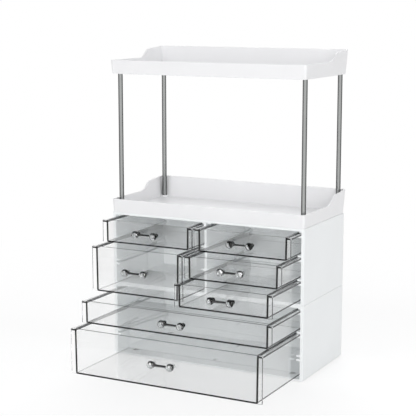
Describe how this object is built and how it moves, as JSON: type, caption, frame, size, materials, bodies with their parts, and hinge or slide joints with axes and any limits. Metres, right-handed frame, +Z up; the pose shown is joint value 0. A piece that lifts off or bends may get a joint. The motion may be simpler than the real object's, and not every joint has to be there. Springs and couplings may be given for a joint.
{
  "type": "makeup organizer",
  "caption": "Two-tier makeup organizer: stacked white casings with clear drawers, below two white trays held apart by steel posts.",
  "frame": {"origin": "on the surface that the rubber feet stand on, below the middle of the casings' footprint", "axes": "+X to the right seen from the front, +Y to the back, +Z up; the drawers slide out along -Y"},
  "size_m": [0.2728, 0.251, 0.4004],
  "materials": {
    "white_plastic": "satin white",
    "tray_plastic": "satin white",
    "clear_plastic": "clear, polished",
    "clear_handle_plastic": "clear, polished",
    "steel_tube": "satin drawn steel",
    "screw_steel": "zinc plated",
    "foot_rubber": "matte"
  },
  "bodies": {
    "frame": {"lower_casing": "white_plastic", "upper_casing": "white_plastic", "centre_divider": "white_plastic", "lower_tray": "tray_plastic", "upper_tray": "tray_plastic", "rubber_feet": "foot_rubber", "post_front_left": "steel_tube", "post_front_right": "steel_tube", "post_back_left": "steel_tube", "post_back_right": "steel_tube", "post_screws_lower": "screw_steel", "post_screws_upper": "screw_steel"},
    "top_left_drawer": {"drawer_top_left": "clear_plastic", "handle_top_left": "clear_handle_plastic"},
    "deep_left_drawer": {"drawer_deep_left": "clear_plastic", "handle_deep_left": "clear_handle_plastic"},
    "top_right_drawer": {"drawer_top_right": "clear_plastic", "handle_top_right": "clear_handle_plastic"},
    "middle_right_drawer": {"drawer_middle_right": "clear_plastic", "handle_middle_right": "clear_handle_plastic"},
    "bottom_right_drawer": {"drawer_bottom_right": "clear_plastic", "handle_bottom_right": "clear_handle_plastic"},
    "wide_shallow_drawer": {"drawer_wide_shallow": "clear_plastic", "handle_wide_shallow": "clear_handle_plastic"},
    "wide_deep_drawer": {"drawer_wide_deep": "clear_plastic", "handle_wide_deep": "clear_handle_plastic"}
  },
  "joints": [
    {"name": "top_left_slide", "type": "slide", "parent": "frame", "child": "top_left_drawer", "axis": [0, -1, 0], "range_m": [-0.0285, 0.0815]},
    {"name": "deep_left_slide", "type": "slide", "parent": "frame", "child": "deep_left_drawer", "axis": [0, -1, 0], "range_m": [-0.054, 0.056]},
    {"name": "top_right_slide", "type": "slide", "parent": "frame", "child": "top_right_drawer", "axis": [0, -1, 0], "range_m": [-0.0285, 0.0815]},
    {"name": "middle_right_slide", "type": "slide", "parent": "frame", "child": "middle_right_drawer", "axis": [0, -1, 0], "range_m": [-0.054, 0.056]},
    {"name": "bottom_right_slide", "type": "slide", "parent": "frame", "child": "bottom_right_drawer", "axis": [0, -1, 0], "range_m": [-0.0795, 0.0305]},
    {"name": "wide_shallow_slide", "type": "slide", "parent": "frame", "child": "wide_shallow_drawer", "axis": [0, -1, 0], "range_m": [-0.0795, 0.0305]},
    {"name": "wide_deep_slide", "type": "slide", "parent": "frame", "child": "wide_deep_drawer", "axis": [0, -1, 0], "range_m": [-0.105, 0.005]}
  ]
}
